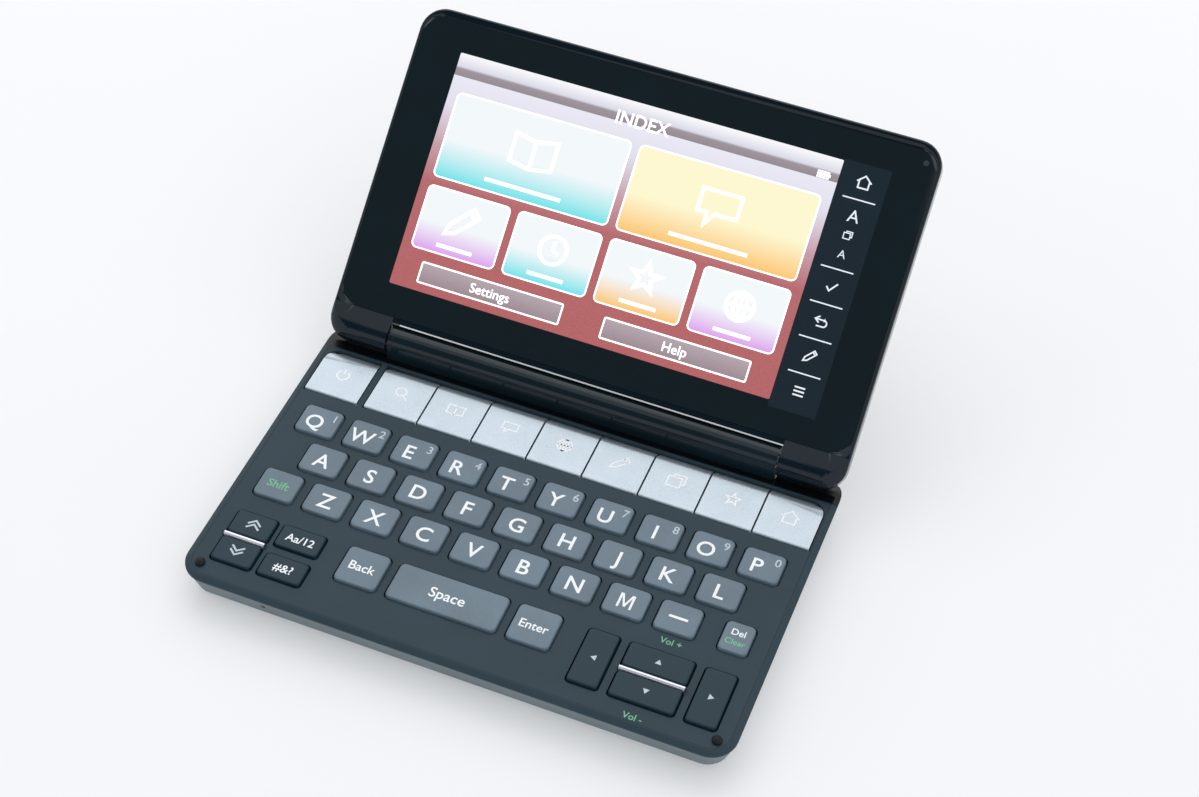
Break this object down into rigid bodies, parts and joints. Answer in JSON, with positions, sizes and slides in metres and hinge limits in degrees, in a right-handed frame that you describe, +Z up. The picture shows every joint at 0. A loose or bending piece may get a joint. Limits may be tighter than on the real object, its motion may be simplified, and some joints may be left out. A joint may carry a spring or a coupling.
{
  "type": "electronic dictionary",
  "caption": "Pocket clamshell dictionary with a keyboard base, a touch display lid and a hinge block with two axes that lets the lid fold right round.",
  "frame": {"origin": "on the table, under the middle of the open object's box", "axes": "+X to the user's right, +Y from the front edge towards the hinge, +Z up; drawn with the lid open at 140 degrees"},
  "size_m": [0.1474, 0.1606, 0.0739],
  "materials": {
    "case_grey": "matte, fine grain",
    "panel_slate": "matte, fine grain",
    "key_grey": "satin",
    "key_dark": "satin",
    "key_silver": "satin silver paint",
    "silicone": "matte",
    "board": "glass-fibre laminate with green solder mask",
    "cell": "printed foil",
    "rubber": "matte",
    "gloss_black": "piano black",
    "steel": "ground",
    "front_glass": "polished, black backed",
    "display": "plain"
  },
  "bodies": {
    "base": {"lower_case": "case_grey", "upper_case": "panel_slate", "key_mat": "silicone", "main_board": "board", "battery_pack": "cell", "feet_and_bumpers": "rubber"},
    "hinge_block": {"hinge_block": "gloss_black", "hinge_pins": "steel"},
    "lid": {"lid_back": "gloss_black", "touch_panel": "front_glass", "lcd_module": "display"},
    "key_q": {"key_q": "key_grey"},
    "key_w": {"key_w": "key_grey"},
    "key_e": {"key_e": "key_grey"},
    "key_r": {"key_r": "key_grey"},
    "key_t": {"key_t": "key_grey"},
    "key_y": {"key_y": "key_grey"},
    "key_u": {"key_u": "key_grey"},
    "key_i": {"key_i": "key_grey"},
    "key_o": {"key_o": "key_grey"},
    "key_p": {"key_p": "key_grey"},
    "key_a": {"key_a": "key_grey"},
    "key_s": {"key_s": "key_grey"},
    "key_d": {"key_d": "key_grey"},
    "key_f": {"key_f": "key_grey"},
    "key_g": {"key_g": "key_grey"},
    "key_h": {"key_h": "key_grey"},
    "key_j": {"key_j": "key_grey"},
    "key_k": {"key_k": "key_grey"},
    "key_l": {"key_l": "key_grey"},
    "key_z": {"key_z": "key_grey"},
    "key_x": {"key_x": "key_grey"},
    "key_c": {"key_c": "key_grey"},
    "key_v": {"key_v": "key_grey"},
    "key_b": {"key_b": "key_grey"},
    "key_n": {"key_n": "key_grey"},
    "key_m": {"key_m": "key_grey"},
    "key_shift": {"key_shift": "key_grey"},
    "key_dash": {"key_dash": "key_grey"},
    "key_delete": {"key_delete": "key_grey"},
    "key_back": {"key_back": "key_grey"},
    "key_space": {"key_space": "key_grey"},
    "key_enter": {"key_enter": "key_grey"},
    "key_page_up": {"key_page_up": "key_dark"},
    "key_page_down": {"key_page_down": "key_dark"},
    "key_mode": {"key_mode": "key_dark"},
    "key_symbol": {"key_symbol": "key_dark"},
    "key_up": {"key_up": "key_dark"},
    "key_down": {"key_down": "key_dark"},
    "key_left": {"key_left": "key_dark"},
    "key_right": {"key_right": "key_dark"},
    "key_power": {"key_power": "key_silver"},
    "key_shortcut_1": {"key_shortcut_1": "key_silver"},
    "key_shortcut_2": {"key_shortcut_2": "key_silver"},
    "key_shortcut_3": {"key_shortcut_3": "key_silver"},
    "key_shortcut_4": {"key_shortcut_4": "key_silver"},
    "key_shortcut_5": {"key_shortcut_5": "key_silver"},
    "key_shortcut_6": {"key_shortcut_6": "key_silver"},
    "key_shortcut_7": {"key_shortcut_7": "key_silver"},
    "key_shortcut_8": {"key_shortcut_8": "key_silver"}
  },
  "joints": [
    {"name": "lid_hinge", "type": "hinge", "parent": "hinge_block", "child": "lid", "pos_m": [0, 0.00979, 0.0141], "axis": [-1, 0, 0], "range_deg": [-140, 40]},
    {"name": "base_hinge", "type": "hinge", "parent": "base", "child": "hinge_block", "pos_m": [0, 0.00979, 0.0048], "axis": [-1, 0, 0], "range_deg": [0, 180]},
    {"name": "key_q_press", "type": "slide", "parent": "base", "child": "key_q", "axis": [0, 0, -1], "range_m": [0, 0.0008], "stiffness_N_per_m": 60},
    {"name": "key_w_press", "type": "slide", "parent": "base", "child": "key_w", "axis": [0, 0, -1], "range_m": [0, 0.0008], "stiffness_N_per_m": 60},
    {"name": "key_e_press", "type": "slide", "parent": "base", "child": "key_e", "axis": [0, 0, -1], "range_m": [0, 0.0008], "stiffness_N_per_m": 60},
    {"name": "key_r_press", "type": "slide", "parent": "base", "child": "key_r", "axis": [0, 0, -1], "range_m": [0, 0.0008], "stiffness_N_per_m": 60},
    {"name": "key_t_press", "type": "slide", "parent": "base", "child": "key_t", "axis": [0, 0, -1], "range_m": [0, 0.0008], "stiffness_N_per_m": 60},
    {"name": "key_y_press", "type": "slide", "parent": "base", "child": "key_y", "axis": [0, 0, -1], "range_m": [0, 0.0008], "stiffness_N_per_m": 60},
    {"name": "key_u_press", "type": "slide", "parent": "base", "child": "key_u", "axis": [0, 0, -1], "range_m": [0, 0.0008], "stiffness_N_per_m": 60},
    {"name": "key_i_press", "type": "slide", "parent": "base", "child": "key_i", "axis": [0, 0, -1], "range_m": [0, 0.0008], "stiffness_N_per_m": 60},
    {"name": "key_o_press", "type": "slide", "parent": "base", "child": "key_o", "axis": [0, 0, -1], "range_m": [0, 0.0008], "stiffness_N_per_m": 60},
    {"name": "key_p_press", "type": "slide", "parent": "base", "child": "key_p", "axis": [0, 0, -1], "range_m": [0, 0.0008], "stiffness_N_per_m": 60},
    {"name": "key_a_press", "type": "slide", "parent": "base", "child": "key_a", "axis": [0, 0, -1], "range_m": [0, 0.0008], "stiffness_N_per_m": 60},
    {"name": "key_s_press", "type": "slide", "parent": "base", "child": "key_s", "axis": [0, 0, -1], "range_m": [0, 0.0008], "stiffness_N_per_m": 60},
    {"name": "key_d_press", "type": "slide", "parent": "base", "child": "key_d", "axis": [0, 0, -1], "range_m": [0, 0.0008], "stiffness_N_per_m": 60},
    {"name": "key_f_press", "type": "slide", "parent": "base", "child": "key_f", "axis": [0, 0, -1], "range_m": [0, 0.0008], "stiffness_N_per_m": 60},
    {"name": "key_g_press", "type": "slide", "parent": "base", "child": "key_g", "axis": [0, 0, -1], "range_m": [0, 0.0008], "stiffness_N_per_m": 60},
    {"name": "key_h_press", "type": "slide", "parent": "base", "child": "key_h", "axis": [0, 0, -1], "range_m": [0, 0.0008], "stiffness_N_per_m": 60},
    {"name": "key_j_press", "type": "slide", "parent": "base", "child": "key_j", "axis": [0, 0, -1], "range_m": [0, 0.0008], "stiffness_N_per_m": 60},
    {"name": "key_k_press", "type": "slide", "parent": "base", "child": "key_k", "axis": [0, 0, -1], "range_m": [0, 0.0008], "stiffness_N_per_m": 60},
    {"name": "key_l_press", "type": "slide", "parent": "base", "child": "key_l", "axis": [0, 0, -1], "range_m": [0, 0.0008], "stiffness_N_per_m": 60},
    {"name": "key_z_press", "type": "slide", "parent": "base", "child": "key_z", "axis": [0, 0, -1], "range_m": [0, 0.0008], "stiffness_N_per_m": 60},
    {"name": "key_x_press", "type": "slide", "parent": "base", "child": "key_x", "axis": [0, 0, -1], "range_m": [0, 0.0008], "stiffness_N_per_m": 60},
    {"name": "key_c_press", "type": "slide", "parent": "base", "child": "key_c", "axis": [0, 0, -1], "range_m": [0, 0.0008], "stiffness_N_per_m": 60},
    {"name": "key_v_press", "type": "slide", "parent": "base", "child": "key_v", "axis": [0, 0, -1], "range_m": [0, 0.0008], "stiffness_N_per_m": 60},
    {"name": "key_b_press", "type": "slide", "parent": "base", "child": "key_b", "axis": [0, 0, -1], "range_m": [0, 0.0008], "stiffness_N_per_m": 60},
    {"name": "key_n_press", "type": "slide", "parent": "base", "child": "key_n", "axis": [0, 0, -1], "range_m": [0, 0.0008], "stiffness_N_per_m": 60},
    {"name": "key_m_press", "type": "slide", "parent": "base", "child": "key_m", "axis": [0, 0, -1], "range_m": [0, 0.0008], "stiffness_N_per_m": 60},
    {"name": "key_shift_press", "type": "slide", "parent": "base", "child": "key_shift", "axis": [0, 0, -1], "range_m": [0, 0.0008], "stiffness_N_per_m": 60},
    {"name": "key_dash_press", "type": "slide", "parent": "base", "child": "key_dash", "axis": [0, 0, -1], "range_m": [0, 0.0008], "stiffness_N_per_m": 60},
    {"name": "key_delete_press", "type": "slide", "parent": "base", "child": "key_delete", "axis": [0, 0, -1], "range_m": [0, 0.0008], "stiffness_N_per_m": 60},
    {"name": "key_back_press", "type": "slide", "parent": "base", "child": "key_back", "axis": [0, 0, -1], "range_m": [0, 0.0008], "stiffness_N_per_m": 60},
    {"name": "key_space_press", "type": "slide", "parent": "base", "child": "key_space", "axis": [0, 0, -1], "range_m": [0, 0.0008], "stiffness_N_per_m": 60},
    {"name": "key_enter_press", "type": "slide", "parent": "base", "child": "key_enter", "axis": [0, 0, -1], "range_m": [0, 0.0008], "stiffness_N_per_m": 60},
    {"name": "key_page_up_press", "type": "slide", "parent": "base", "child": "key_page_up", "axis": [0, 0, -1], "range_m": [0, 0.0008], "stiffness_N_per_m": 60},
    {"name": "key_page_down_press", "type": "slide", "parent": "base", "child": "key_page_down", "axis": [0, 0, -1], "range_m": [0, 0.0008], "stiffness_N_per_m": 60},
    {"name": "key_mode_press", "type": "slide", "parent": "base", "child": "key_mode", "axis": [0, 0, -1], "range_m": [0, 0.0008], "stiffness_N_per_m": 60},
    {"name": "key_symbol_press", "type": "slide", "parent": "base", "child": "key_symbol", "axis": [0, 0, -1], "range_m": [0, 0.0008], "stiffness_N_per_m": 60},
    {"name": "key_up_press", "type": "slide", "parent": "base", "child": "key_up", "axis": [0, 0, -1], "range_m": [0, 0.0008], "stiffness_N_per_m": 60},
    {"name": "key_down_press", "type": "slide", "parent": "base", "child": "key_down", "axis": [0, 0, -1], "range_m": [0, 0.0008], "stiffness_N_per_m": 60},
    {"name": "key_left_press", "type": "slide", "parent": "base", "child": "key_left", "axis": [0, 0, -1], "range_m": [0, 0.0008], "stiffness_N_per_m": 60},
    {"name": "key_right_press", "type": "slide", "parent": "base", "child": "key_right", "axis": [0, 0, -1], "range_m": [0, 0.0008], "stiffness_N_per_m": 60},
    {"name": "key_power_press", "type": "slide", "parent": "base", "child": "key_power", "axis": [0, 0, -1], "range_m": [0, 0.0008], "stiffness_N_per_m": 60},
    {"name": "key_shortcut_1_press", "type": "slide", "parent": "base", "child": "key_shortcut_1", "axis": [0, 0, -1], "range_m": [0, 0.0008], "stiffness_N_per_m": 60},
    {"name": "key_shortcut_2_press", "type": "slide", "parent": "base", "child": "key_shortcut_2", "axis": [0, 0, -1], "range_m": [0, 0.0008], "stiffness_N_per_m": 60},
    {"name": "key_shortcut_3_press", "type": "slide", "parent": "base", "child": "key_shortcut_3", "axis": [0, 0, -1], "range_m": [0, 0.0008], "stiffness_N_per_m": 60},
    {"name": "key_shortcut_4_press", "type": "slide", "parent": "base", "child": "key_shortcut_4", "axis": [0, 0, -1], "range_m": [0, 0.0008], "stiffness_N_per_m": 60},
    {"name": "key_shortcut_5_press", "type": "slide", "parent": "base", "child": "key_shortcut_5", "axis": [0, 0, -1], "range_m": [0, 0.0008], "stiffness_N_per_m": 60},
    {"name": "key_shortcut_6_press", "type": "slide", "parent": "base", "child": "key_shortcut_6", "axis": [0, 0, -1], "range_m": [0, 0.0008], "stiffness_N_per_m": 60},
    {"name": "key_shortcut_7_press", "type": "slide", "parent": "base", "child": "key_shortcut_7", "axis": [0, 0, -1], "range_m": [0, 0.0008], "stiffness_N_per_m": 60},
    {"name": "key_shortcut_8_press", "type": "slide", "parent": "base", "child": "key_shortcut_8", "axis": [0, 0, -1], "range_m": [0, 0.0008], "stiffness_N_per_m": 60}
  ]
}
